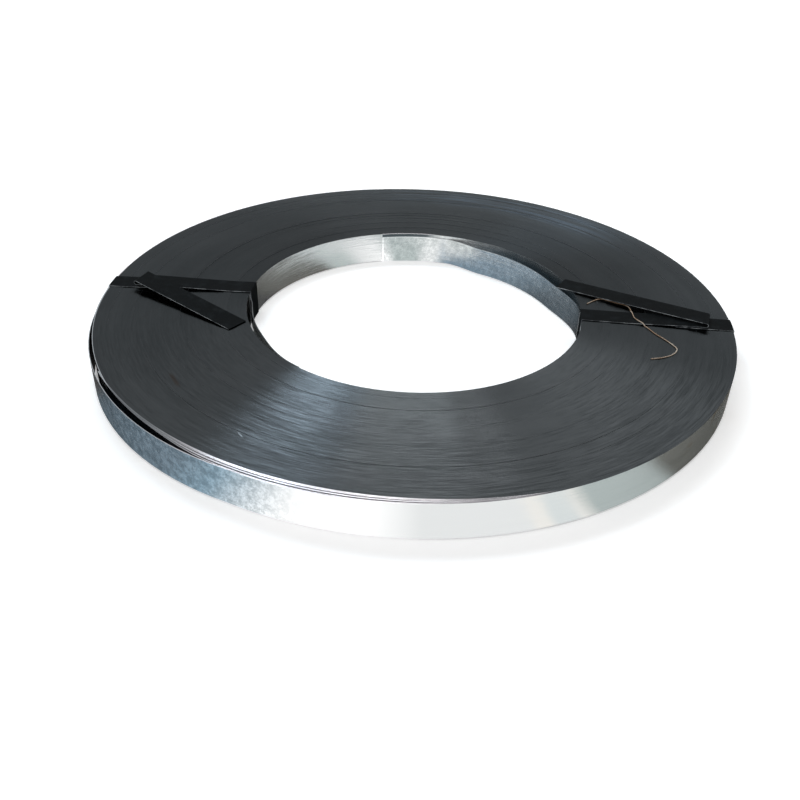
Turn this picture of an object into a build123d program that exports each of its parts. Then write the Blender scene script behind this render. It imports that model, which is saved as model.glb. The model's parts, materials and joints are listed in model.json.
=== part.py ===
from build123d import *
from math import asin, cos, degrees, radians, sin
import os

# A small coil of slit galvanised steel strip, tied with two black steel straps. It lies flat, its axis
# upright. The origin is on the axis of the bore, in the plane that the straps' undersides stand on,
# +Z is up and +X runs out along the right strap. All lengths are in millimetres, all angles in degrees.

# The strip and the coil it is wound into
bore_radius = 150.0  # inner face of the innermost turn, at the strip's inner end
outer_radius = 280.0  # outer face of the outermost turn, at the strip's outer end
strip_width = 30.0
strip_thickness = 0.5
inner_end_azimuth = 108.7  # where the strip's inner end shows in the bore
outer_end_azimuth = 177.0  # the strip's outer end is held under the left strap

# Groups of turns have crept along the axis, which leaves shallow rings on both ends of the coil
ring_count = 9
ring_creep = 0.4  # furthest that a group stands out of line
ring_phase = 103.0  # sets how the groups differ in height
ring_unevenness = 0.3  # how much the groups differ in width, as a share of one group
ring_spread = 137.0  # sets how the groups differ in width

# The outermost turn has come loose between the left strap and the front. Over one stretch the coil
# inside it is pressed flat, and over another the turn itself stands out.
flat_depth = 5.8
flat_middle = 257.0
flat_half_angle = 39.0
bulge_height = 4.0
bulge_middle = 221.0
bulge_half_angle = 27.0

# The straps
strap_width = 20.0
strap_thickness = 0.5
strap_clearance = 0.1  # between a strap and the coil it is drawn round
tuck_length = 28.0  # how far the outer end of a strap lies under its own inner run
level_length = 14.0  # level stretch of the inner run beside the fold
fold_gap = 3.0  # inside height of the hand-made fold

# For each strap: the direction it runs out in, how far its middle line misses the axis, the radius
# where its inner run leaves the coil, the radius where it is folded back, how high it has risen there,
# the skew of the fold, and the length of the tail that is left over
straps = {
    "strap_left": dict(run=183.8, miss=-12.1, leaves=168.0, fold=251.5, rise=2.6, skew=17.6, tail=125.0),
    "strap_right": dict(run=0.0, miss=-3.1, leaves=192.0, fold=258.0, rise=1.5, skew=12.7, tail=138.0),
}

coil_bottom = strap_thickness + strap_clearance
coil_top = coil_bottom + strip_width + ring_creep
strap_level = coil_top + strap_clearance  # underside of a strap where it lies on the coil
bend_radius = 2 * strap_clearance  # inside radius where a strap turns over the coil's edge


def turn_face(large_radius, azimuth):
    """Plan of one turn of strip. Its radius is largest just past the azimuth and one thickness less
    after a full turn: four arcs that meet in tangents, closed by the step of the strip's end."""
    shift = strip_thickness / 4
    arcs = []
    for quarter, (side_x, side_y) in enumerate([(1, -1), (1, 1), (-1, 1), (-1, -1)]):
        centre = (side_x * shift / 2, side_y * shift / 2)
        radius = large_radius - shift / 2 - quarter * shift
        arcs.append(CenterArc(centre, radius, 90 * quarter, 90))
    step = Line(arcs[-1] @ 1, arcs[0] @ 0)
    return Rot(0, 0, azimuth) * make_face(Curve() + [*arcs, step])


def shallow_disc(radius, rise, middle, half_angle):
    """Plan of a disc whose rim crosses the circle of this radius half an angle before and after the
    middle, and stands beyond it by the rise in between. A rise below zero lies inside that circle."""
    half_chord = radius * sin(radians(half_angle))
    sagitta = radius * (1 - cos(radians(half_angle))) + rise
    disc_radius = (half_chord**2 + sagitta**2) / (2 * sagitta)
    return Rot(0, 0, middle) * Pos(radius + rise - disc_radius, 0) * Circle(disc_radius)


def bulged_face(radius):
    """Plan of everything within the outer or inner face of the outermost turn, bulge and all."""
    bulge = shallow_disc(radius, bulge_height, bulge_middle, bulge_half_angle)
    return turn_face(radius, outer_end_azimuth) + bulge


def loose_face():
    """Plan of the gap between the outermost turn and the flattened coil inside it."""
    turn_inside = outer_radius - strip_thickness
    flat = shallow_disc(turn_inside, -flat_depth, flat_middle, flat_half_angle)
    return bulged_face(turn_inside) - (turn_face(turn_inside, outer_end_azimuth) & flat)


def ring_blank():
    """The coil as a turned blank, a little thicker than its wall. Each group of turns is as wide as the
    strip and has crept by its own amount, so both ends show the same rings."""
    inside = bore_radius - strip_thickness
    outside = outer_radius + strip_thickness
    pitch = (outside - inside) / ring_count
    uneven = [ring_unevenness * sin(radians(ring_spread * ring)) for ring in range(ring_count)]
    edges = [inside + pitch * (ring + uneven[ring]) for ring in range(ring_count)]
    edges.append(outside + bulge_height)
    blank = Sketch()
    for ring, (inner, outer) in enumerate(zip(edges, edges[1:])):
        creep = ring_creep * (1 + sin(radians(ring_phase * ring))) / 2
        group = Rectangle(outer - inner, strip_width, align=(Align.MIN, Align.MIN))
        blank += Pos(inner, coil_bottom + creep) * group
    return revolve(Plane.XZ * blank, Axis.Z)


def make_coil():
    plan = bulged_face(outer_radius)
    plan -= turn_face(bore_radius + strip_thickness, inner_end_azimuth)
    plan -= loose_face()
    return ring_blank() & extrude(plan, coil_top + strip_width)


def strap_band(strap):
    """The strap drawn round the coil's section: turned about the coil's axis so that it hugs the round
    walls, then cut to its width, and open on top where the inner run has left the coil."""
    inside_width = outer_radius - bore_radius + 2 * strap_clearance
    inside_height = strap_level - strap_thickness
    middle = Pos((outer_radius + bore_radius) / 2, strap_thickness + inside_height / 2)
    inside = RectangleRounded(inside_width, inside_height, bend_radius)
    outside = RectangleRounded(
        inside_width + 2 * strap_thickness, inside_height + 2 * strap_thickness, bend_radius + strap_thickness
    )
    band = revolve(Plane.XZ * middle * (outside - inside), Axis.Z)
    middle_up = (Align.MIN, Align.CENTER, Align.CENTER)
    lane = Box(2 * outer_radius, strap_width, 4 * coil_top, align=middle_up)
    open_length = strap["fold"] - tuck_length - strap["leaves"]
    opening = Box(open_length, 2 * strap_width, 2 * strap_thickness, align=middle_up)
    opening = Pos(strap["leaves"], 0, strap_level + strap_thickness / 2) * opening
    place = strap_place(strap)
    return (band & place * lane) - place * opening


def strap_place(strap):
    return Rot(0, 0, strap["run"]) * Pos(0, strap["miss"], 0)


def fold_place(strap):
    """Where the fold is: on the strap's middle line, at the height of the fold's own middle, turned so
    that Y runs along the line that the strap is folded over."""
    height = strap_level + strap["rise"] + strap_thickness + fold_gap / 2
    return Pos(strap["fold"], 0, height) * Rot(0, 0, -strap["skew"])


def inner_run(strap):
    """The run that comes up out of the bore, rises off the coil over the tucked end and stops at the
    line of the fold."""
    high = strap_level + strap["rise"]
    under = [
        (strap["leaves"] - strap_width / 2, strap_level),
        (strap["leaves"], strap_level),
        (strap["fold"] - level_length, high),
        (strap["fold"] + strap_width, high),
    ]
    over = [(along, up + strap_thickness) for along, up in reversed(under)]
    side = make_face(Polyline(*under, *over, close=True))
    run = extrude(Plane.XZ * side, strap_width / 2, both=True)
    side_length = 4 * strap_width
    beyond = Box(side_length, side_length, side_length, align=(Align.MIN, Align.CENTER, Align.CENTER))
    return run - fold_place(strap) * beyond


def fold_and_tail(strap):
    """The strap bent back over itself by hand. The fold is a bent tube along the fold's line. The tail
    leaves it at twice the skew and slopes down until its end lies on the coil."""
    inside = fold_gap / 2
    skew = radians(strap["skew"])
    drop = strap["rise"] + strap_thickness + fold_gap
    reach = strap["tail"] * cos(skew) + strap_width / 2 * sin(skew)
    slope = degrees(asin(drop / reach))
    half_line = strap_width / 2 / cos(skew)

    inner_arc = CenterArc((0, 0), inside, -90, 180 + slope)
    outer_arc = CenterArc((0, 0), inside + strap_thickness, -90, 180 + slope)
    lips = [Line(inner_arc @ 0, outer_arc @ 0), Line(inner_arc @ 1, outer_arc @ 1)]
    section = make_face(Curve() + [inner_arc, outer_arc, *lips])
    bend = extrude(Plane.XZ * section, half_line, both=True)

    end = Vector(-cos(skew), sin(skew)) * strap["tail"]
    half_end = Vector(sin(skew), cos(skew)) * (strap_width / 2)
    outline = Polyline((0, -half_line), (0, half_line), end + half_end, end - half_end, close=True)
    tail = Rot(0, -slope, 0) * Pos(0, 0, inside) * extrude(make_face(outline), strap_thickness)
    return fold_place(strap) * (bend + tail)


def make_strap(strap):
    return strap_band(strap) + strap_place(strap) * (inner_run(strap) + fold_and_tail(strap))


def save(node, shape):
    solid = shape.solids()[0]
    solid.label = node
    export_step(solid, f"parts/{node}.step")


os.makedirs("parts", exist_ok=True)
save("coil", make_coil())
for node, strap in straps.items():
    save(node, make_strap(strap))
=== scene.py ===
# %% [markdown]
# # A small coil of slit galvanised strip
#
# The object is a flat-lying coil of zinc-coated steel strip, 560 mm across, tied with two black
# steel straps. Its shape is already settled in a CAD model, so this script is about looks: the
# dark stack of sheared edges on the coil's ends, the zinc of its walls, the paint of the straps,
# and the few loose things that a turned solid can't show. Everything is in metres, +Z up, with
# the origin on the axis of the bore.

import json
import math

import bmesh
import bpy
from mathutils import Matrix, Vector
from mathutils.bvhtree import BVHTree
from mathutils.geometry import interpolate_bezier


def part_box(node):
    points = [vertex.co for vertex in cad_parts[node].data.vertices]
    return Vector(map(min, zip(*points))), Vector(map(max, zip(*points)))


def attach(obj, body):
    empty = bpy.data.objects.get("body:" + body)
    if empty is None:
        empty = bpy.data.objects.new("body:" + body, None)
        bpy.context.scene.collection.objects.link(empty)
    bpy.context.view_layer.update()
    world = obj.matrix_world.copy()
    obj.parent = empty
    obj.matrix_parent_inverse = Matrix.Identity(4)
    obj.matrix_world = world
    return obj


for leftover in ("Cube", "Light", "Camera"):
    stray = bpy.data.objects.get(leftover)
    if stray:
        bpy.data.objects.remove(stray)

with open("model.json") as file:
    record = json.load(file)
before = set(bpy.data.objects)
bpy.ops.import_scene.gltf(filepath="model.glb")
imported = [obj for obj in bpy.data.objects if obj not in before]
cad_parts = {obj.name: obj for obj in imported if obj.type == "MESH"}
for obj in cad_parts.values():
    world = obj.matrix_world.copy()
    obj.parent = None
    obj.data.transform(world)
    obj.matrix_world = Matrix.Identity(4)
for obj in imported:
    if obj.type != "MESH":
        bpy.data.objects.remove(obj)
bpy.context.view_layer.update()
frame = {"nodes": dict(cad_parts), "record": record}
mm = 0.001
coil_low, coil_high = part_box("coil")
coil_top = coil_high.z
coil_bottom = coil_low.z
bore_radius = frame["record"]["mounts"][0]["dims"]["r_mm"] * mm
outer_radius = coil_high.x

# %% [markdown]
# ## Camera
#
# A photograph of a ring tells where its camera stood: the outer rim and the bore are circles, and
# only one distance and tilt turn them into the two ovals that the picture shows. The camera is
# placed by three turns, in the order that a tripod has them: swing to the side, tilt down, then
# the slight roll of a hand-held picture. A turn matrix for each is easier to read than one set of
# Euler angles.

# %% Camera
camera_place = Vector((0.0581, -0.7069, coil_top + 0.3707))
camera_swing = 5.55
camera_tilt_down = 34.08
camera_roll = 1.69
photo_width = 800
focal_length_in_pixels = 878.2

camera_data = bpy.data.cameras.new("camera")
camera_data.sensor_width = 36.0
camera_data.lens = camera_data.sensor_width * focal_length_in_pixels / photo_width
camera_data.clip_start = 0.05
camera = bpy.data.objects.new("camera", camera_data)
bpy.context.scene.collection.objects.link(camera)
swing = Matrix.Rotation(math.radians(camera_swing), 4, "Z")
tilt = Matrix.Rotation(math.radians(90 - camera_tilt_down), 4, "X")
roll = Matrix.Rotation(math.radians(camera_roll), 4, "Z")
camera.matrix_world = Matrix.Translation(camera_place) @ swing @ tilt @ roll
bpy.context.scene.camera = camera
bpy.context.scene.view_settings.view_transform = "Standard"
print("lens in mm:", round(camera_data.lens, 2))


# %% [markdown]
# ## A short way to write node materials
#
# A procedural material is a small graph. Written out in full, each node takes four or five lines
# and the pattern gets lost, so a helper adds a node, sets its plain inputs and joins its linked
# ones in a single call. A value that is the same all over is always set on the shader's own socket.

# %% Helpers for nodes
def new_material(name):
    material = bpy.data.materials.new(name)
    material.use_nodes = True
    return material, material.node_tree, material.node_tree.nodes["Principled BSDF"]


def add_node(tree, kind, settings=None, **inputs):
    """Adds a node. An input is a plain value, or the output socket of another node. It goes by its
    label, with _ for a space, or by its place as i0, i1 and so on."""
    node = tree.nodes.new(kind)
    for name, value in (settings or {}).items():
        setattr(node, name, value)
    for name, value in inputs.items():
        key = int(name[1:]) if name[0] == "i" and name[1:].isdigit() else name.replace("_", " ")
        if isinstance(value, bpy.types.NodeSocket):
            tree.links.new(value, node.inputs[key])
        else:
            node.inputs[key].default_value = value
    return node


def math_node(tree, operation, first, second=0.0, clamp=False):
    settings = dict(operation=operation, use_clamp=clamp)
    return add_node(tree, "ShaderNodeMath", settings, i0=first, i1=second).outputs[0]


def vector_node(tree, operation, first, second=(0, 0, 0)):
    return add_node(tree, "ShaderNodeVectorMath", dict(operation=operation), i0=first, i1=second)


def scaled(tree, vector, share):
    settings = dict(operation="SCALE")
    return add_node(tree, "ShaderNodeVectorMath", settings, i0=vector, Scale=share).outputs[0]


def blend_colours(tree, share, first, second):
    settings = dict(data_type="RGBA")
    return add_node(tree, "ShaderNodeMix", settings, i0=share, i6=first, i7=second).outputs[2]


# %% [markdown]
# Finishes on a real thing have soft limits: zinc is rubbed smooth over a few centimetres, and oil
# fades along a wall. A smooth step from 0 to 1 over a distance, a height or a direction draws such
# a limit, two of them make a band, and shares multiplied together show a finish only where all of
# them hold.

# %% Helpers for soft limits
def soft_step(tree, value, low, high):
    """0 at low, 1 at high and smooth in between. Low may be the larger of the two."""
    settings = dict(interpolation_type="SMOOTHSTEP")
    inputs = dict(Value=value, From_Min=low, From_Max=high)
    return add_node(tree, "ShaderNodeMapRange", settings, **inputs).outputs["Result"]


def product(tree, share, *others):
    """The shares multiplied, so that a thing shows only where each of them lets it."""
    for other in others:
        share = math_node(tree, "MULTIPLY", share, other)
    return share


def all_but(tree, share):
    return math_node(tree, "SUBTRACT", 1.0, share)


def soft_band(tree, value, rises, falls):
    """1 between two soft edges and 0 outside them. Each edge is where it starts and where it ends."""
    return product(tree, soft_step(tree, value, *rises), soft_step(tree, value, *falls))


def stretch(tree, value, low, high, to_low, to_high):
    inputs = dict(Value=value, From_Min=low, From_Max=high, To_Min=to_low, To_Max=to_high)
    return add_node(tree, "ShaderNodeMapRange", {}, **inputs).outputs["Result"]


def noise(tree, place, scale, detail=3.0, roughness=0.6):
    inputs = dict(Vector=place, Scale=scale, Detail=detail, Roughness=roughness)
    return add_node(tree, "ShaderNodeTexNoise", {}, **inputs)


# %% [markdown]
# ## Pieces from bmesh shapes
#
# Each shape in this script is built with bmesh operators, straight at its place in the CAD frame.
# One function hands a finished shape over to the scene, and another makes the plain flat sheets.

# %% Helpers for shapes
def piece_from(name, shape, material):
    mesh = bpy.data.meshes.new(name)
    shape.to_mesh(mesh)
    shape.free()
    mesh.materials.append(material)
    piece = bpy.data.objects.new(name, mesh)
    bpy.context.scene.collection.objects.link(piece)
    return piece


def flat_sheet(name, half_size, height, material):
    shape = bmesh.new()
    bmesh.ops.create_grid(shape, x_segments=1, y_segments=1, size=half_size)
    bmesh.ops.translate(shape, vec=(0, 0, height), verts=shape.verts)
    return piece_from(name, shape, material)


# %% [markdown]
# ## Floor
#
# The coil stands on a plain pale floor. The picture's background is pure white, but a floor that
# is lit until it is white would flood the object with light too. So the floor is an ordinary pale
# matt surface, and only a ray that shows the background itself finds a little light of its own
# there: one from the camera, or one that metal or glass has sent on. The coil's soft shadow still
# shows, because that light is the same all round it and the shadow isn't. Far away, where the lamps
# no longer reach, the floor gets a little more, so that it ends without a grey band.

# %% Floor
floor_half_size = 12.0
floor_lift = 0.32
far_floor_lift = 0.6
lift_grows = (0.8, 3.0)


def seen_directly(tree):
    """1 for a ray from the camera, or one that metal or glass has sent on, and 0 for any other."""
    rays = add_node(tree, "ShaderNodeLightPath").outputs
    shown = math_node(tree, "ADD", rays["Is Camera Ray"], rays["Is Glossy Ray"], clamp=True)
    return math_node(tree, "ADD", shown, rays["Is Transmission Ray"], clamp=True)


floor_material, tree, shader = new_material("floor_paper")
shader.inputs["Base Color"].default_value = (0.9, 0.9, 0.9, 1)
shader.inputs["Roughness"].default_value = 0.95
shader.inputs["Specular IOR Level"].default_value = 0.1
shader.inputs["Emission Color"].default_value = (1, 1, 1, 1)
spot = add_node(tree, "ShaderNodeTexCoord").outputs["Object"]
reach = vector_node(tree, "LENGTH", spot).outputs["Value"]
lift = stretch(tree, soft_step(tree, reach, *lift_grows), 0, 1, floor_lift, far_floor_lift)
lifted = math_node(tree, "MULTIPLY", seen_directly(tree), lift)
tree.links.new(lifted, shader.inputs["Emission Strength"])
floor = flat_sheet("floor", floor_half_size, 0.0, floor_material)
print("floor in m:", 2 * floor_half_size)

# %% [markdown]
# ## Room
#
# The room is one even white. It is bright where it is seen, and dimmer as a lamp, so that the
# softboxes still shape the object.

# %% World
room_light = 0.45
room_seen = 1.0

world = bpy.data.worlds.new("studio")
bpy.context.scene.world = world
world.use_nodes = True
tree = world.node_tree
background = tree.nodes["Background"]
background.inputs["Color"].default_value = (1, 1, 1, 1)
strength = stretch(tree, seen_directly(tree), 0, 1, room_light, room_seen)
tree.links.new(strength, background.inputs["Strength"])
print("room as a lamp and as seen:", room_light, room_seen)

# %% [markdown]
# ## Cards for the metal to look at
#
# A polished wall shows its surroundings and hardly any colour of its own, so a white studio makes
# it a white blank. A photographer lays grey and white cards round the foot of such a thing, just
# out of the picture. Here one flat sheet does it: it glows in a few plain tones that change with
# the direction round the axis, and only the reflections in the metal can see it. Inside the bore
# the tones are turned half round, because the wall there faces the other way.

# %% Tones of the cards
shade = (0.08, 0.08, 0.08)
dusk = (0.15, 0.15, 0.135)
night_blue = (0.095, 0.125, 0.15)
umber = (0.20, 0.205, 0.185)
taupe = (0.28, 0.275, 0.25)
slate = (0.19, 0.265, 0.33)
dim_blue = (0.22, 0.32, 0.41)
steel_blue = (0.34, 0.50, 0.62)
silver = (0.62, 0.70, 0.69)
pale = (1.15, 1.17, 1.17)
mist = (1.02, 1.08, 1.08)
cream = (1.27, 1.24, 1.18)
white = (1.5, 1.5, 1.5)
outside_cards = {
    -180: shade,
    -152: shade,
    -147: slate,
    -125: slate,
    -116: steel_blue,
    -103: white,
    -90: white,
    -83: pale,
    -67: pale,
    -66: cream,
    -64.5: cream,
    -63.5: mist,
    -59.8: mist,
    -58.8: cream,
    -58.3: cream,
    -57: silver,
    -43: silver,
    -40: umber,
    -20: umber,
    0: shade,
    30: slate,
    70: pale,
    95: silver,
    150: taupe,
}
bore_cards = {
    -180: shade,
    -160: night_blue,
    -142: night_blue,
    -126: slate,
    -112: dim_blue,
    -97: dim_blue,
    -91.5: pale,
    -88: pale,
    -85: silver,
    -77: silver,
    -74: white,
    -65: pale,
    -59: silver,
    -53: silver,
    -48: dusk,
    -24: dusk,
    -15: shade,
    90: silver,
}
print("cards outside and in the bore:", len(outside_cards), len(bore_cards))

# %% [markdown]
# A colour ramp holds such a ring of tones, with the direction round the axis as its position. A
# ramp is meant for colours up to 1, so it stores each tone as a share of the brightest one, which
# is the sheet's own strength. The sheet lies just above the floor, and only reflections see it.

# %% Card sheet
card_half_size = 0.65
card_height = 0.3 * mm
brightest = max(white)


def tones_round_axis(tree, cards, x, y):
    """A ring of tones. The azimuth of each, in degrees, is the way that the wall beside it faces."""
    heading = stretch(tree, math_node(tree, "ARCTAN2", y, x), -math.pi, math.pi, 0, 1)
    ramp = add_node(tree, "ShaderNodeValToRGB", {}, Fac=heading)
    stops = ramp.color_ramp.elements
    stops.remove(stops[1])
    for azimuth, tone in cards.items():
        stop = stops[0] if azimuth == -180 else stops.new((azimuth + 180) / 360)
        stop.color = (*(value / brightest for value in tone), 1)
    closing_stop = stops.new(1.0)
    closing_stop.color = stops[0].color
    return ramp.outputs["Color"]


card_material, tree, shader = new_material("reflector_card")
spot = add_node(tree, "ShaderNodeTexCoord").outputs["Object"]
place = add_node(tree, "ShaderNodeSeparateXYZ", {}, i0=spot).outputs
opposite = add_node(tree, "ShaderNodeSeparateXYZ", {}, i0=scaled(tree, spot, -1.0)).outputs
reach = vector_node(tree, "LENGTH", spot).outputs["Value"]
is_outside = math_node(tree, "GREATER_THAN", reach, (bore_radius + outer_radius) / 2)
outside = tones_round_axis(tree, outside_cards, place["X"], place["Y"])
inside = tones_round_axis(tree, bore_cards, opposite["X"], opposite["Y"])
tree.links.new(blend_colours(tree, is_outside, inside, outside), shader.inputs["Emission Color"])
shader.inputs["Emission Strength"].default_value = brightest
shader.inputs["Base Color"].default_value = (0, 0, 0, 1)
shader.inputs["Specular IOR Level"].default_value = 0
card = flat_sheet("reflector_card", card_half_size, card_height, card_material)
card.visible_camera = False
card.visible_diffuse = False
card.visible_transmission = False
card.visible_volume_scatter = False
card.visible_shadow = False
print("card in m:", 2 * card_half_size)


# %% [markdown]
# ## Lamps
#
# The near side of the coil's end shows two broad streaks of light, a bluish one and a neutral one,
# and a slim third. Each is one lamp behind the coil, drawn out along the radius by the turns, so
# each streak's direction tells where its lamp stands. A wide dim lamp lifts the right of the end,
# and a large one in front lights whatever isn't metal.

# %% Lamps
def softbox(name, place, width, height, power, colour):
    lamp = bpy.data.lights.new(name, "AREA")
    lamp.shape = "RECTANGLE"
    lamp.size = width
    lamp.size_y = height
    lamp.energy = power
    lamp.color = colour
    holder = bpy.data.objects.new(name, lamp)
    holder.location = place
    holder.rotation_euler = (-Vector(place)).to_track_quat("-Z", "Y").to_euler()
    bpy.context.scene.collection.objects.link(holder)


softbox("cool_softbox", (-0.67, 0.73, 1.70), 0.56, 0.5, 11.2, (0.74, 0.88, 1.0))
softbox("neutral_softbox", (-0.10, 0.90, 1.75), 0.54, 0.5, 5.2, (0.97, 1.0, 1.0))
softbox("slim_softbox", (0.27, 0.95, 1.70), 0.10, 0.4, 0.8, (1.0, 1.0, 1.0))
softbox("wide_softbox", (0.74, 1.24, 1.33), 1.6, 0.8, 3.2, (1.0, 1.0, 1.0))
softbox("front_softbox", (-0.6, -1.8, 1.3), 1.6, 1.6, 10, (1.0, 1.0, 1.0))
print("softboxes:", len(bpy.data.lights))

# %% [markdown]
# ## The steel of the coil
#
# The strip was slit from a wide sheet. Its faces carry zinc, and its two cut edges are bare dark
# steel, so a coil has pale walls and dark ends. Both are one CAD piece with one material slot. The
# direction that a surface faces tells them apart, which needs no painting and no seam. Only the
# low steps between groups of turns face sideways and are still cut edges, so the radius settles
# those.

# %% Directions on the coil
bore_wall_ends = (bore_radius + 1.0 * mm, bore_radius + 1.5 * mm)
outer_wall_begins = (outer_radius - 8.0 * mm, outer_radius - 7.5 * mm)
facing_match = (0.6, 0.8)

steel, tree, shader = new_material("galvanised_strip")
places = add_node(tree, "ShaderNodeTexCoord").outputs
spot = places["Object"]
facing = places["Normal"]
flat_spot = vector_node(tree, "MULTIPLY", spot, (1, 1, 0)).outputs[0]
radius = vector_node(tree, "LENGTH", flat_spot).outputs["Value"]
outwards = vector_node(tree, "NORMALIZE", flat_spot).outputs[0]
along_strip = vector_node(tree, "CROSS_PRODUCT", (0, 0, 1), outwards).outputs[0]
across_strip = vector_node(tree, "CROSS_PRODUCT", facing, along_strip).outputs[0]
spot_parts = add_node(tree, "ShaderNodeSeparateXYZ", {}, i0=spot).outputs
east = spot_parts["X"]
height = spot_parts["Z"]
azimuth = math_node(tree, "DEGREES", math_node(tree, "ARCTAN2", spot_parts["Y"], east))

upright = add_node(tree, "ShaderNodeSeparateXYZ", {}, i0=facing).outputs["Z"]
faces_up = soft_step(tree, math_node(tree, "ABSOLUTE", upright), *facing_match)
past_bore_wall = soft_step(tree, radius, *bore_wall_ends)
past_last_step = soft_step(tree, radius, *outer_wall_begins)
between_walls = math_node(tree, "SUBTRACT", past_bore_wall, past_last_step)
on_end = math_node(tree, "MAXIMUM", faces_up, between_walls)
on_wall = all_but(tree, on_end)
on_step = math_node(tree, "SUBTRACT", on_end, faces_up)
print("steel nodes so far:", len(tree.nodes))


# %% [markdown]
# The ends are hundreds of strip edges side by side. Each is a hair higher or lower than the next,
# so a lamp shows as a streak across all of them, as on a gramophone record. The pattern is noise
# over the radius and, far more slowly, over the direction round the axis, so that lines come and
# go along the turns. It darkens some lines a little, and it tilts them a lot.

# %% Lines along the strip
def strip_lines(tree, across, frequency, drift):
    """Noise that is quick across the strip's edge or face and slow along the strip."""
    quick = math_node(tree, "MULTIPLY", across, frequency)
    quick = add_node(tree, "ShaderNodeCombineXYZ", {}, Z=quick).outputs[0]
    place = vector_node(tree, "ADD", scaled(tree, outwards, drift), quick).outputs[0]
    return noise(tree, place, 1.0, detail=2.0).outputs["Fac"]


fine_lines = strip_lines(tree, radius, 1500.0, 16.0)
grouped_lines = strip_lines(tree, radius, 700.0, 5.0)
wide_lines = strip_lines(tree, radius, 60.0, 0.6)
rolling_lines = strip_lines(tree, height, 3500.0, 4.0)
haze = noise(tree, spot, 14.0, detail=2.0).outputs["Fac"]
print("steel nodes so far:", len(tree.nodes))

# %% Colours of the ends
end_dark = (0.045, 0.050, 0.053, 1)
end_light = (0.061, 0.067, 0.071, 1)
step_colour = (0.15, 0.16, 0.17, 1)
line_shares = [(fine_lines, 0.35), (grouped_lines, 0.25), (wide_lines, 0.2), (haze, 0.2)]
line_contrast = (0.35, 0.65)

line_mix = 0.0
for lines, share in line_shares:
    line_mix = math_node(tree, "ADD", math_node(tree, "MULTIPLY", lines, share), line_mix)
end_colour = blend_colours(tree, soft_step(tree, line_mix, *line_contrast), end_dark, end_light)
end_colour = blend_colours(tree, on_step, end_colour, step_colour)
print("kinds of line in the ends:", len(line_shares))

# %% [markdown]
# At the back, near the rim, the end shows some paler, bluish turns. They are one more set of strip
# lines, kept to that stretch by a soft band over the radius and another over the direction.

# %% Pale lines at the back
pale_line_colour = (0.075, 0.092, 0.110, 1)
pale_line_contrast = (0.45, 0.62)
pale_from_radius = (228 * mm, 246 * mm)
pale_to_radius = (277 * mm, 268 * mm)
pale_from_azimuth = (30.0, 62.0)
pale_to_azimuth = (118.0, 84.0)

pale_lines = product(
    tree,
    soft_step(tree, strip_lines(tree, radius, 330.0, 2.0), *pale_line_contrast),
    soft_band(tree, radius, pale_from_radius, pale_to_radius),
    soft_band(tree, azimuth, pale_from_azimuth, pale_to_azimuth),
)
end_colour = blend_colours(tree, pale_lines, end_colour, pale_line_colour)
print("steel nodes so far:", len(tree.nodes))


# %% [markdown]
# ## Where the outermost turn is loose
#
# From the left strap to the front, the outermost turn has come loose. The CAD model makes that
# stretch with two large shallow discs: one presses the coil's rim flat, and the other lets the
# turn bulge. The painted highlights on the edges and the loose turns below have to follow the same
# two rims. So the discs are repeated here once, each by its centre in plan and its radius, with the
# directions in which the gap opens and closes.

# %% Two shallow discs
flat_centre = Vector((6.4 * mm, 27.7 * mm, 0))
flat_radius = 302.1 * mm
bulge_centre = Vector((-24.65, -21.43, 0)) * mm
bulge_radius = 250.84 * mm
gap_opens = -142.0
gap_closes = -64.0
print("gap in degrees:", gap_closes - gap_opens)

# %% [markdown]
# Turns that stand out of line get a painted highlight along their edges: the outermost one at the
# left, and the coil's own rim beside the gap, most of all at the front. A rim is known by its
# distance from the middle of its own circle.

# %% Painted highlights on the outer rims
# Painted highlight: a pale colour along the rims, brightest at the front.
highlight_colour = (0.45, 0.48, 0.51, 1)
front_highlight_colour = (0.85, 0.82, 0.85, 1)
highlight_left_of = (60 * mm, -40 * mm)
front_begins = (-130.0, -110.0)
highlight_fades = (-74.0, -92.0)
least_highlight_at_left = 0.35
least_highlight_at_right = 0.3


def just_within(tree, distance, rim_radius):
    """1 on the last 0.6 mm within a rim, and 0 from 1 mm inwards."""
    return soft_step(tree, distance, rim_radius - 1.0 * mm, rim_radius - 0.6 * mm)


rim_highlights = product(tree, just_within(tree, radius, outer_radius), soft_step(tree, east, *highlight_left_of))
at_front = soft_step(tree, azimuth, *front_begins)
from_flat_centre = vector_node(tree, "DISTANCE", flat_spot, tuple(flat_centre)).outputs["Value"]
flat_rim_highlight = product(
    tree,
    just_within(tree, from_flat_centre, flat_radius),
    soft_step(tree, azimuth, gap_closes, gap_closes - 4.0),
    stretch(tree, at_front, 0, 1, least_highlight_at_left, 1.0),
    stretch(tree, soft_step(tree, azimuth, *highlight_fades), 0, 1, least_highlight_at_right, 1.0),
)
rim_highlights = math_node(tree, "MAXIMUM", rim_highlights, flat_rim_highlight)
print("steel nodes so far:", len(tree.nodes))

# %% [markdown]
# The rim of the bore gets a painted highlight at the back, from where the innermost turn stands
# off the wall to the strip's cut end. That turn has slid down, and its own edge gets a painted
# highlight at the back too and is duller elsewhere. It is all that lies nearer to the axis than the
# wall of the bore.

# %% Painted highlights on the edges round the bore
slid_edge_colour = (0.16, 0.17, 0.18, 1)
cut_azimuth = 108.7
back_of_bore = (84.0, 92.0)
bore_rim_ends = (cut_azimuth + 0.3, cut_azimuth - 0.7)
bore_rim_width = (bore_radius + 1.2 * mm, bore_radius + 0.8 * mm)
highlight_grows = (86.0, 94.0)
off_bore_wall = (bore_radius - 0.02 * mm, bore_radius - 0.08 * mm)

# Painted highlight: a pale colour on the bore's rim and on the slid turn's edge at the back.
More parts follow.
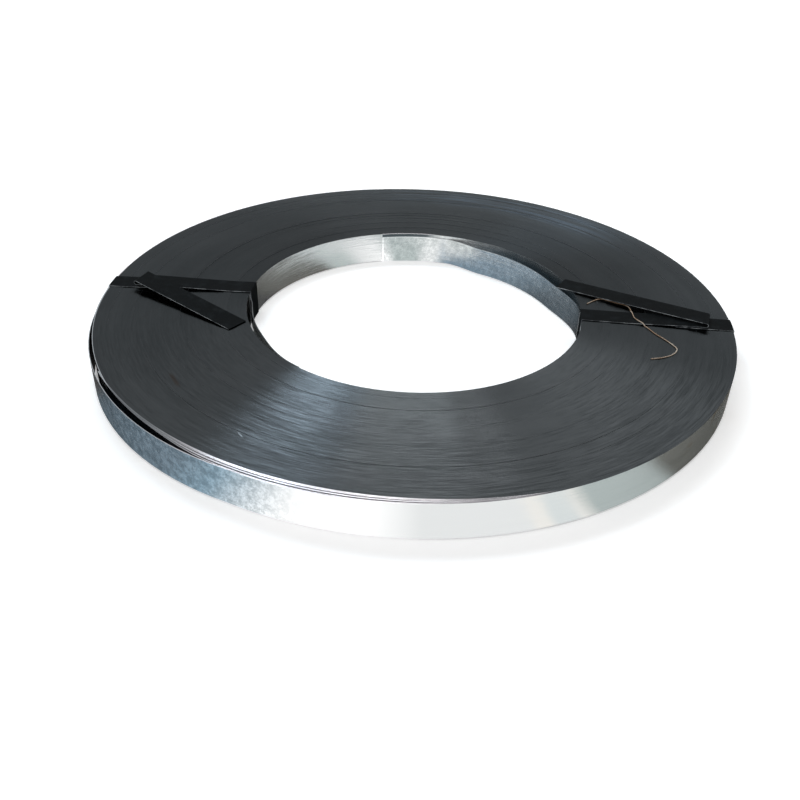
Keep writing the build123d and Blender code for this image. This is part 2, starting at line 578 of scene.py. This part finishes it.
bore_rim_highlight = soft_band(tree, azimuth, back_of_bore, bore_rim_ends)
bore_rim_highlight = product(tree, bore_rim_highlight, soft_step(tree, radius, *bore_rim_width))
rim_highlights = math_node(tree, "MAXIMUM", rim_highlights, bore_rim_highlight)
rim_highlight_colour = blend_colours(tree, at_front, highlight_colour, front_highlight_colour)
end_colour = blend_colours(tree, rim_highlights, end_colour, rim_highlight_colour)
highlight_at_back = soft_step(tree, azimuth, *highlight_grows)
edge_colour = blend_colours(tree, highlight_at_back, slid_edge_colour, highlight_colour)
on_slid_turn = soft_step(tree, radius, *off_bore_wall)
end_colour = blend_colours(tree, on_slid_turn, end_colour, edge_colour)
print("steel nodes so far:", len(tree.nodes))


# %% [markdown]
# Two small marks are real ones. A scratch near the front shows fresh metal, and a thin brown
# finger mark lies further to the left. Each is a soft-edged patch in plan, laid over the colour of
# the end.

# %% Marks on the end
def patch(tree, centre, heading, length, width):
    """1 in the middle of a straight patch on the coil's end, and 0 beyond its edge."""
    solid_share = 0.3
    away = vector_node(tree, "SUBTRACT", spot, centre).outputs[0]
    heading = math.radians(heading)
    along = (math.cos(heading), math.sin(heading), 0)
    sideways = (-math.sin(heading), math.cos(heading), 0)
    inside = 1.0
    for direction, half in ((along, length / 2), (sideways, width / 2)):
        distance = vector_node(tree, "DOT_PRODUCT", away, direction).outputs["Value"]
        distance = math_node(tree, "ABSOLUTE", distance)
        inside = product(tree, soft_step(tree, distance, half, solid_share * half), inside)
    return inside


scratch_colour = (0.17, 0.185, 0.195, 1)
finger_colour = (0.044, 0.035, 0.030, 1)
finger_strength = 0.6
scratch = patch(tree, (-102.0 * mm, -221.0 * mm, 0), -51.0, 10 * mm, 1.6 * mm)
finger_mark = patch(tree, (-170.2 * mm, -159.7 * mm, 0), -53.0, 28 * mm, 4.5 * mm)
finger_mark = math_node(tree, "MULTIPLY", finger_mark, finger_strength)
end_colour = blend_colours(tree, scratch, end_colour, scratch_colour)
end_colour = blend_colours(tree, finger_mark, end_colour, finger_colour)
print("steel nodes so far:", len(tree.nodes))

# %% [markdown]
# ## Zinc
#
# Zinc that has been handled and wound is not one grey. The face that shows at the outer left and
# on the innermost turn is mottled, and the rest is rubbed smooth. Brown smears cross the outer
# right.

# %% Zinc on the walls
zinc_plain = (0.70, 0.705, 0.705, 1)
zinc_dark = (0.50, 0.525, 0.53, 1)
zinc_light = (0.90, 0.91, 0.91, 1)
mottling_contrast = (0.36, 0.64)
mottled_left_of = (-40 * mm, -90 * mm)
mottled_in_bore_right_of = (-52 * mm, -46 * mm)
mottling_in_bore = 0.5

in_bore = soft_step(tree, radius, bore_radius + 20 * mm, bore_radius + 10 * mm)
outside_bore = all_but(tree, in_bore)
mottled_outside = soft_step(tree, east, *mottled_left_of)
mottled_inside = soft_step(tree, east, *mottled_in_bore_right_of)
mottled = blend_colours(tree, in_bore, mottled_outside, mottled_inside)
grain = noise(tree, spot, 170.0, detail=5.0, roughness=0.8)
mottling = soft_step(tree, grain.outputs["Fac"], *mottling_contrast)
mottling = blend_colours(tree, mottling, zinc_dark, zinc_light)
mottling_share = product(tree, mottled, stretch(tree, in_bore, 0, 1, 1.0, mottling_in_bore))
zinc_colour = blend_colours(tree, mottling_share, zinc_plain, mottling)
print("steel nodes so far:", len(tree.nodes))

# %% Smears on the outer right
smear_colour = (0.56, 0.50, 0.42, 1)
smear_contrast = (0.5, 0.7)
smeared_right_of = (195 * mm, 225 * mm)
smears = soft_step(tree, noise(tree, spot, 45.0).outputs["Fac"], *smear_contrast)
smears = product(tree, smears, soft_step(tree, east, *smeared_right_of))
zinc_colour = blend_colours(tree, smears, zinc_colour, smear_colour)
print("steel nodes so far:", len(tree.nodes))

# %% [markdown]
# The innermost turn ends at the back of the bore. Its cut end and its upper edge, which has slid
# 3.3 mm down, get a near-white painted highlight. The strip of wall that the slide uncovers is in
# the shade of the rim and is painted as a thin dark line of shade. All three are narrow bands over
# the direction and the height, and the radius tells the turn's inner face from the wall behind it.

# %% Round the end of the innermost turn
# Painted highlight at the cut end and on the top edge, and painted shade on the uncovered wall.
painted_glint_colour = (0.98, 0.98, 0.98, 1)
shaded_colour = (0.10, 0.12, 0.13, 1)
turn_drop = 3.3 * mm
turn_top = coil_top - turn_drop
inner_face_starts = (bore_radius - 0.15 * mm, bore_radius - 0.25 * mm)
before_cut = (cut_azimuth - 0.8, cut_azimuth - 0.5)
past_cut = (cut_azimuth + 0.3, cut_azimuth + 0.1)
turn_stops = (cut_azimuth + 0.1, cut_azimuth - 0.2)

on_inner_face = soft_step(tree, radius, *inner_face_starts)
uncovered = soft_step(tree, height, turn_top, turn_top + 0.5 * mm)
glint_height = soft_step(tree, height, turn_top - 0.9 * mm, turn_top - 0.5 * mm)
top_glint = math_node(tree, "SUBTRACT", glint_height, uncovered)
at_back = product(tree, soft_band(tree, azimuth, back_of_bore, turn_stops), in_bore)
top_glint = product(tree, top_glint, at_back, on_inner_face)
uncovered = product(tree, uncovered, at_back, all_but(tree, on_inner_face))
cut_glint = product(tree, in_bore, soft_band(tree, azimuth, before_cut, past_cut))
painted_glints = math_node(tree, "MAXIMUM", cut_glint, top_glint)
zinc_colour = blend_colours(tree, painted_glints, zinc_colour, painted_glint_colour)
zinc_colour = blend_colours(tree, uncovered, zinc_colour, shaded_colour)
print("steel nodes so far:", len(tree.nodes))

# %% [markdown]
# Behind the loose innermost turn the wall is painted dark as shade, a little less so towards the top.

# %% Painted shade behind the innermost turn
# Painted shade: a dark colour on the wall behind the loose turn.
behind_turn_shade_colour = (0.20, 0.235, 0.25, 1)
behind_shade_starts = (2.0, 3.0)
behind_shade_fades = (78.0, 48.0)
behind_shade_height = (coil_top - 8 * mm, coil_top)
least_behind_shade = 0.6

behind_turn = product(
    tree,
    soft_band(tree, azimuth, behind_shade_starts, behind_shade_fades),
    stretch(tree, height, *behind_shade_height, 1.0, least_behind_shade),
    all_but(tree, on_slid_turn),
    in_bore,
)
zinc_colour = blend_colours(tree, behind_turn, zinc_colour, behind_turn_shade_colour)
print("steel nodes so far:", len(tree.nodes))

# %% [markdown]
# The gap inside the outermost turn is painted dark at the left, as shade where it is deep. At the
# front, where the turns in it almost touch, their faces are painted paler, as light that reaches in.
# They are told from the outer wall by facing the axis, or by lying within it. The strip's cut ends
# are fresh bright steel, and they face along the strip.

# %% Painted shade and light inside the outer gap, and cut ends
# Painted shade deep in the gap at the left, and painted light on the faces in it at the front.
gap_shade_colour = (0.05, 0.065, 0.075, 1)
gap_front_light_colour = (0.45, 0.41, 0.45, 1)
within_outermost_turn = (outer_radius - 0.3 * mm, outer_radius - 0.4 * mm)
cut_colour = (0.90, 0.92, 0.93, 1)

facing_out = vector_node(tree, "DOT_PRODUCT", facing, outwards).outputs["Value"]
facing_in = math_node(tree, "LESS_THAN", facing_out, 0.0)
inside_turn = soft_step(tree, radius, *within_outermost_turn)
beside_gap = soft_step(tree, azimuth, gap_closes + 2.0, gap_closes)
in_gap = math_node(tree, "MAXIMUM", facing_in, inside_turn)
in_gap = product(tree, in_gap, beside_gap, outside_bore)
gap_light_and_shade = blend_colours(tree, at_front, gap_shade_colour, gap_front_light_colour)
zinc_colour = blend_colours(tree, in_gap, zinc_colour, gap_light_and_shade)

colour = blend_colours(tree, on_end, zinc_colour, end_colour)
facing_along = vector_node(tree, "DOT_PRODUCT", facing, along_strip).outputs["Value"]
on_cut = soft_step(tree, math_node(tree, "ABSOLUTE", facing_along), *facing_match)
colour = blend_colours(tree, on_cut, colour, cut_colour)
tree.links.new(colour, shader.inputs["Base Color"])
print("steel nodes so far:", len(tree.nodes))

# %% [markdown]
# ## Gloss and relief
#
# Cut edges and rolled zinc both have fine lines along the strip, so a highlight is drawn out
# across them. In Cycles it is drawn out along the tangent, which therefore points across the strip.
# Dark metal turns pale at a low angle unless its tint holds that back. The steps between groups,
# which no lamp reaches, and the cut ends aren't treated as polished at all.

# %% Gloss
wall_roughness = 0.2
end_roughness = 0.25
edge_tint = (0.42, 0.42, 0.42, 1)
roughness = stretch(tree, on_end, 0, 1, wall_roughness, end_roughness)
tree.links.new(roughness, shader.inputs["Roughness"])
unpolished = math_node(tree, "MAXIMUM", on_step, on_cut)
tree.links.new(all_but(tree, unpolished), shader.inputs["Metallic"])
tree.links.new(across_strip, shader.inputs["Tangent"])
shader.inputs["Anisotropic"].default_value = 1.0
shader.inputs["Specular Tint"].default_value = edge_tint
print("roughness of walls and ends:", wall_roughness, end_roughness)

# %% [markdown]
# The relief is a lean of the surface, added to its normal. On the ends, each line leans in or out.
# Shearing leaves a burr, so near the bore they lean outwards on the whole, and near the rim a
# little inwards, which makes the streaks fade towards the rim. On the walls, rolling leaves lines,
# and the mottled zinc is the more uneven.

# %% Relief
line_lean = 0.95
burr_lean_at_bore = 0.20
burr_lean_at_rim = -0.12
rolling_lean = 0.9
smooth_grain_lean = 0.10
mottled_grain_lean = 0.16

line_tilt = math_node(tree, "ADD", fine_lines, grouped_lines)
line_tilt = stretch(tree, line_tilt, 0, 2, -line_lean / 2, line_lean / 2)
burr_lean = stretch(tree, radius, bore_radius, outer_radius, burr_lean_at_bore, burr_lean_at_rim)
end_tilt = product(tree, math_node(tree, "ADD", line_tilt, burr_lean), on_end)
rolling_tilt = stretch(tree, rolling_lines, 0, 1, -rolling_lean / 2, rolling_lean / 2)
wall_tilt = product(tree, rolling_tilt, on_wall)
wall_tilt = add_node(tree, "ShaderNodeCombineXYZ", {}, Z=wall_tilt).outputs[0]
grain_tilt = vector_node(tree, "SUBTRACT", grain.outputs["Color"], (0.5, 0.5, 0.5)).outputs[0]
rough_share = product(tree, mottled, outside_bore)
grain_lean = stretch(tree, rough_share, 0, 1, smooth_grain_lean, mottled_grain_lean)
grain_tilt = scaled(tree, grain_tilt, product(tree, on_wall, grain_lean))
normal = add_node(tree, "ShaderNodeNewGeometry").outputs["Normal"]
for lean in (scaled(tree, outwards, end_tilt), wall_tilt, grain_tilt):
    normal = vector_node(tree, "ADD", normal, lean).outputs[0]
normal = vector_node(tree, "NORMALIZE", normal).outputs[0]
tree.links.new(normal, shader.inputs["Normal"])
frame["nodes"]["coil"].material_slots[0].material = steel
print("nodes of the finished steel:", len(tree.nodes))

# %% [markdown]
# ## Strip as thin sheet
#
# A turn that stands off the coil is thin sheet, so it is made as one: an edge the strip's width
# high is spun round the axis, each of its steps is put at its own radius, and it is given its
# 0.5 mm. The radius comes from a function of the direction, so that one maker serves every
# loose turn. The thickness comes last, so that it is the same all along.

# %% A spun stretch of strip
turn_thickness = 0.5 * mm
spin_steps = 160
sharp_angle = math.radians(30)


def smooth_rise(share):
    share = min(max(share, 0.0), 1.0)
    return share * share * (3 - 2 * share)


def spun_turn(start, end, top, radius_at, *settings):
    """A stretch of strip. Its inner face is at the radius that radius_at gives for an azimuth."""
    shape = bmesh.new()
    low = shape.verts.new((1, 0, coil_bottom))
    high = shape.verts.new((1, 0, top))
    edge = shape.edges.new((low, high))
    turned = Matrix.Rotation(math.radians(end), 4, "Z")
    bmesh.ops.transform(shape, matrix=turned, verts=[low, high])
    sweep = math.radians(start - end)
    spin = dict(cent=(0, 0, 0), axis=(0, 0, 1), angle=sweep, steps=spin_steps, use_merge=False)
    bmesh.ops.spin(shape, geom=[low, high, edge], **spin)
    for vertex in shape.verts:
        turn_radius = radius_at(math.degrees(math.atan2(vertex.co.y, vertex.co.x)), *settings)
        vertex.co.x *= turn_radius
        vertex.co.y *= turn_radius
    bmesh.ops.recalc_face_normals(shape, faces=shape.faces)
    first = shape.faces[:][0]
    if first.normal.dot(first.calc_center_median()) > 0:
        bmesh.ops.reverse_faces(shape, faces=shape.faces)
    bmesh.ops.solidify(shape, geom=shape.faces[:], thickness=turn_thickness)
    bmesh.ops.recalc_face_normals(shape, faces=shape.faces)
    for face in shape.faces:
        face.smooth = True
    return shape


def strip_piece(name, shape):
    """Hands a loose stretch of strip over to the scene and prints how far from the axis it lies."""
    piece = piece_from(name, shape, steel)
    piece.data.set_sharp_from_angle(angle=sharp_angle)
    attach(piece, "root")
    radii = [math.hypot(vertex.co.x, vertex.co.y) / mm for vertex in piece.data.vertices]
    print(name, "radii in mm:", round(min(radii), 2), round(max(radii), 2))


print("steps in a loose stretch:", spin_steps)

# %% [markdown]
# ## Loose innermost turn
#
# The innermost turn isn't held by anything but the straps. Behind the coil's middle and to the
# right it has sprung away from the wall and slid down a little, and at the left it stands off as a
# thin line with a dark gap behind it. Each stretch is pushed inwards by a smooth bow, and the right
# one is flat over a few degrees at the back, where it shows one white reflection. The straps hold
# the turn, so both ends of each stretch lie against the wall.

# %% Loose stretches of the innermost turn
turn_clearance = 0.1 * mm
flat_azimuth = 85.5
loose_stretches = {
    "inner_turn_right": dict(
        start=3.0, end=cut_azimuth, rises=26.0, bow_end=84.0, falls=18.0,
        bow=10.0 * mm, drop=turn_drop, flat=3.0,
    ),
    "inner_turn_left": dict(
        start=-176.2, end=-122.0, rises=8.0, bow_end=-126.0, falls=22.0,
        bow=4.3 * mm, drop=0.2 * mm, flat=0.0,
    ),
}


def bowed_radius(azimuth, loose):
    """The radius of the turn's inner face, which stands off the wall by a bow and a flat."""
    leaving = smooth_rise((azimuth - loose["start"]) / loose["rises"])
    coming_back = smooth_rise((loose["bow_end"] - azimuth) / loose["falls"])
    off_middle = min(abs(azimuth - flat_azimuth), loose["flat"])
    flattened = math.cos(math.radians(loose["flat"])) / math.cos(math.radians(off_middle))
    stands_off = loose["bow"] * leaving * coming_back + bore_radius * (1 - flattened)
    return bore_radius - turn_clearance - turn_thickness - stands_off


for name, loose in loose_stretches.items():
    top = coil_top - loose["drop"]
    strip_piece(name, spun_turn(loose["start"], loose["end"], top, bowed_radius, loose))

# %% [markdown]
# ## Loose turns behind the outermost one
#
# At the front left the outermost turn stands off the coil. The CAD model has that gap, and in it
# lie a few more turns, whose rubbed edges show as thin pale lines. They are made as the innermost
# one is. Where the gap begins they come out of the coil one after another, at the front each takes
# its own share of it, and where it closes they go back in.

# %% Turns in the outer gap
turn_shares = (0.0, 0.12, 0.42, 0.54, 0.88)
turns_in_gap = len(turn_shares)
packed_pitch = 0.6 * mm
gap_clearance = 0.05 * mm
gap_drop = 0.1 * mm
gap_start = gap_opens - 4.0
gap_end = gap_closes - 2.0
comes_out_over = 30.0
spreads_from = -128.0
spreads_over = 20.0
tight_inner_face = outer_radius - turn_thickness - 0.2 * mm


def disc_reach(azimuth, centre, disc_radius):
    """How far from the axis a disc's rim lies in one direction."""
    direction = Vector((math.cos(math.radians(azimuth)), math.sin(math.radians(azimuth)), 0))
    along = direction.dot(centre)
    return along + math.sqrt(disc_radius**2 - centre.length_squared + along**2)


def gap_radius(azimuth, place_in_gap, share_of_gap):
    """The radius of one turn's inner face between the coil's rim and the outermost turn."""
    coil_rim = disc_reach(azimuth, flat_centre, flat_radius)
    turn_inside = max(disc_reach(azimuth, bulge_centre, bulge_radius), tight_inner_face)
    evenly = smooth_rise((azimuth - spreads_from) / spreads_over)
    packed = place_in_gap * packed_pitch
    spread = share_of_gap * (turn_inside - coil_rim)
    still_in = 1 - smooth_rise((azimuth - gap_start) / comes_out_over)
    wanted = coil_rim + packed + evenly * max(spread - packed, 0)
    wanted -= still_in * turns_in_gap * packed_pitch
    behind = (turns_in_gap - place_in_gap) * (turn_thickness + gap_clearance)
    return min(wanted, turn_inside - behind)


gap_shape = bmesh.new()
for place_in_gap, share_of_gap in enumerate(turn_shares):
    placing = (gap_radius, place_in_gap, share_of_gap)
    shape = spun_turn(gap_start, gap_end, coil_top - gap_drop, *placing)
    mesh = bpy.data.meshes.new("one_turn")
    shape.to_mesh(mesh)
    shape.free()
    gap_shape.from_mesh(mesh)
    bpy.data.meshes.remove(mesh)
strip_piece("loose_outer_turns", gap_shape)

# %% [markdown]
# ## Proud turns
#
# Here and there a single turn stands a hair above its neighbours for part of the way round, on
# both ends of the coil. Each is a little rectangle, half a millimetre wide, spun through its
# stretch. Its outer face rises and sinks again, and its inner face stays buried in the coil. Rays
# cast at the CAD solid find how high the coil is there, and none may stand out past the highest
# group, where the straps lie.

# %% Proud turns
proud_by = 0.25 * mm
buried_by = 0.1 * mm
sunk_at_ends = 0.02 * mm
proud_steps = 40
ray_start = 10 * mm
proud_above = [
    (158, -150, 80), (181, 40, 95), (188, -60, 70), (193, 60, 60), (200, 75, 70),
    (204, -170, 60), (244, 50, 80), (252, -75, 55), (259, 95, 50), (233, -140, 60),
]
proud_below = [(171, 20, 90), (213, -120, 100), (275, 60, 70)]

coil_mesh = frame["nodes"]["coil"].data
coil_points = [vertex.co for vertex in coil_mesh.vertices]
coil_faces = [face.vertices for face in coil_mesh.polygons]
coil_surface = BVHTree.FromPolygons(coil_points, coil_faces)


def proud_turn(shape, radius, start, sweep, side):
    """Adds one stretch of turn. Side is 1 for the upper end of the coil and -1 for the lower."""
    middle = math.radians(start + sweep / 2)
    origin = Vector((radius * math.cos(middle), radius * math.sin(middle), 0))
    origin.z = coil_top + ray_start if side > 0 else coil_bottom - ray_start
    surface = coil_surface.ray_cast(origin, Vector((0, 0, -side)))[0].z
    limit = coil_top if side > 0 else coil_bottom
    rise = min(proud_by, abs(limit - surface))
    corners = [(0, -buried_by), (turn_thickness, -buried_by), (turn_thickness, 0), (0, 0)]
    verts = [shape.verts.new((radius + across, 0, surface + side * up)) for across, up in corners]
    face = shape.faces.new(verts)
    bmesh.ops.transform(shape, matrix=Matrix.Rotation(math.radians(start), 4, "Z"), verts=verts)
    spin = dict(cent=(0, 0, 0), axis=(0, 0, 1), angle=math.radians(sweep), steps=proud_steps)
    known = set(shape.verts) - set(verts)
    bmesh.ops.spin(shape, geom=[face, *face.edges, *verts], **spin)
    for vertex in set(shape.verts) - known:
        if abs(vertex.co.z - surface) < buried_by / 2:
            azimuth = math.degrees(math.atan2(vertex.co.y, vertex.co.x))
            share = ((azimuth - start) % 360) / sweep
            vertex.co.z += side * (rise * math.sin(math.pi * min(share, 1.0)) - sunk_at_ends)
    return rise


# %% All the proud turns
proud_shape = bmesh.new()
rises = [proud_turn(proud_shape, r * mm, start, sweep, 1) for r, start, sweep in proud_above]
rises += [proud_turn(proud_shape, r * mm, start, sweep, -1) for r, start, sweep in proud_below]
bmesh.ops.recalc_face_normals(proud_shape, faces=proud_shape.faces)
proud_turns = piece_from("proud_turns", proud_shape, steel)
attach(proud_turns, "root")
print("proud turns stand out by, in mm:", [round(rise / mm, 2) for rise in rises])

# %% [markdown]
# ## Straps
#
# The straps are steel painted black, slit after painting, so their two long edges are bare and
# catch the light as thin bright lines. Each strap and each tail runs in one direction, so an edge
# is known by facing square to it. The paint itself is dull, a little scuffed and not quite flat.

# %% Paint of the straps
strap_runs = {"strap_left": (183.8, 17.6), "strap_right": (0.0, 12.7)}
paint_dark = (0.0045, 0.0055, 0.006, 1)
paint_scuffed = (0.011, 0.013, 0.014, 1)
bare_dull = (0.10, 0.11, 0.12, 1)
bare_bright = (0.45, 0.48, 0.50, 1)
edge_threshold = (0.90, 0.94)
paint_contrast = (0.45, 0.75)
bare_contrast = (0.4, 0.6)
scuff_range = (0.3, 0.7)
scuff_roughness = (0.45, 0.62)

paint, tree, shader = new_material("black_strap")
places = add_node(tree, "ShaderNodeTexCoord").outputs
spot = places["Object"]
facing = places["Normal"]
edge_match = 0.0
for run, skew in strap_runs.values():
    for turned in (0.0, -2 * skew):
        across = math.radians(run + 90 + turned)
        across = (math.cos(across), math.sin(across), 0)
        match = vector_node(tree, "DOT_PRODUCT", facing, across).outputs["Value"]
        edge_match = math_node(tree, "MAXIMUM", edge_match, math_node(tree, "ABSOLUTE", match))
on_edge = soft_step(tree, edge_match, *edge_threshold)
scuffs = noise(tree, spot, 90.0, detail=4.0, roughness=0.65).outputs["Fac"]
painted = blend_colours(tree, soft_step(tree, scuffs, *paint_contrast), paint_dark, paint_scuffed)
bare = blend_colours(tree, soft_step(tree, scuffs, *bare_contrast), bare_dull, bare_bright)
tree.links.new(blend_colours(tree, on_edge, painted, bare), shader.inputs["Base Color"])
tree.links.new(stretch(tree, scuffs, *scuff_range, *scuff_roughness), shader.inputs["Roughness"])
shader.inputs["Specular IOR Level"].default_value = 0.01
dents = noise(tree, spot, 35.0).outputs["Fac"]
dented = dict(Strength=0.4, Distance=0.002, Height=dents)
bump = add_node(tree, "ShaderNodeBump", {}, **dented).outputs["Normal"]
tree.links.new(bump, shader.inputs["Normal"])
for strap in strap_runs:
    frame["nodes"][strap].material_slots[0].material = paint
print("strap nodes:", len(tree.nodes))

# %% [markdown]
# ## Stray fibre
#
# A brown fibre, such as comes off sacking or a wooden pallet, has settled on the right strap and
# the coil beside it. It is no cord of the object's own, only dirt, and about as thick as twine's
# single strand. Its route in plan is a handful of points with a smooth curve through them. Rays
# cast down from just above the strap's run find what it lies on.

# %% Route of the fibre
fibre_radius = 0.45 * mm
curve_steps = 8
above_run = 1.2 * mm
fibre_route = [
    (155.6, 18.4), (162.3, 25.6), (169.0, 29.6), (176.2, 27.3), (182.7, 24.3), (189.3, 21.5),
    (193.2, 17.0), (194.7, 3.8), (196.0, -4.6), (203.3, -15.3), (210.6, -28.3), (217.8, -37.5),
    (223.1, -45.6), (225.6, -53.0), (220.8, -61.9), (211.7, -68.2), (202.0, -71.7),
]
strap_mesh = frame["nodes"]["strap_right"].data
strap_points = [vertex.co for vertex in strap_mesh.vertices]
strap_faces = [face.vertices for face in strap_mesh.polygons]
strap_surface = BVHTree.FromPolygons(strap_points, strap_faces)


def lies_at(place):
    """The height of the coil or of the strap's run under a point."""
    origin = Vector((place.x, place.y, coil_top + above_run))
    hits = [surface.ray_cast(origin, Vector((0, 0, -1)))[0] for surface in (coil_surface, strap_surface)]
    return max(hit.z for hit in hits if hit)


def smooth_route(points):
    """A smooth curve through every point, in short straight steps. A point's handles reach a sixth
    of the way between its two neighbours."""
    points = [Vector((x * mm, y * mm, 0)) for x, y in points]
    slopes = [(points[min(i + 1, len(points) - 1)] - points[max(i - 1, 0)]) / 6 for i in range(len(points))]
    route = points[:1]
    for i in range(len(points) - 1):
        handles = (points[i] + slopes[i], points[i + 1] - slopes[i + 1])
        route += interpolate_bezier(points[i], *handles, points[i + 1], curve_steps)[1:]
    return [Vector(place) for place in route]


route = smooth_route(fibre_route)
heights = [lies_at(place) for place in route]
for i, place in enumerate(route):
    place.z = max(heights[max(i - 1, 0):i + 2]) + fibre_radius
print("fibre length in mm:", round(sum((b - a).length for a, b in zip(route, route[1:])) / mm))


# %% [markdown]
# The fibre is a small hexagon, extruded from each point of the route to the next and turned there
# to face along it. The first and the last hexagon stay as its closed ends. A corner points
# sideways, so that the fibre lies on a flat side.

# %% Shape of the fibre
fibre_sides = 6


def tube(route, radius, sides):
    """A closed tube along a route."""
    places = []
    for i, place in enumerate(route):
        ahead = route[min(i + 1, len(route) - 1)] - route[max(i - 1, 0)]
        places.append(Matrix.LocRotScale(place, ahead.to_track_quat("Z", "Y"), None))
    shape = bmesh.new()
    corner_sideways = places[0] @ Matrix.Rotation(math.radians(-90), 4, "Z")
    circle = dict(cap_ends=True, segments=sides, radius=radius, matrix=corner_sideways)
    bmesh.ops.create_circle(shape, **circle)
    end = shape.faces[:][0]
    for here, there in zip(places, places[1:]):
        extruded = bmesh.ops.extrude_face_region(shape, geom=[end, *end.edges])["geom"]
        end = next(item for item in extruded if isinstance(item, bmesh.types.BMFace))
        bmesh.ops.transform(shape, matrix=there @ here.inverted(), verts=end.verts)
    bmesh.ops.recalc_face_normals(shape, faces=shape.faces)
    for face in shape.faces:
        face.smooth = True
    return shape


fibre_shape = tube(route, fibre_radius, fibre_sides)
print("faces of the fibre:", len(fibre_shape.faces))

# %% [markdown]
# Dry fibre is matt and changes between brown and a bleached tone every few centimetres.

# %% Fibre
fibre_brown = (0.24, 0.15, 0.09, 1)
fibre_pale = (0.50, 0.42, 0.34, 1)
patch_contrast = (0.4, 0.6)
fibre_material, tree, shader = new_material("dry_fibre")
spot = add_node(tree, "ShaderNodeTexCoord").outputs["Object"]
patches = soft_step(tree, noise(tree, spot, 60.0).outputs["Fac"], *patch_contrast)
fibre_colour = blend_colours(tree, patches, fibre_brown, fibre_pale)
tree.links.new(fibre_colour, shader.inputs["Base Color"])
shader.inputs["Roughness"].default_value = 0.8
fibre = piece_from("stray_fibre", fibre_shape, fibre_material)
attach(fibre, "root")
print("points of the fibre:", len(fibre.data.vertices))
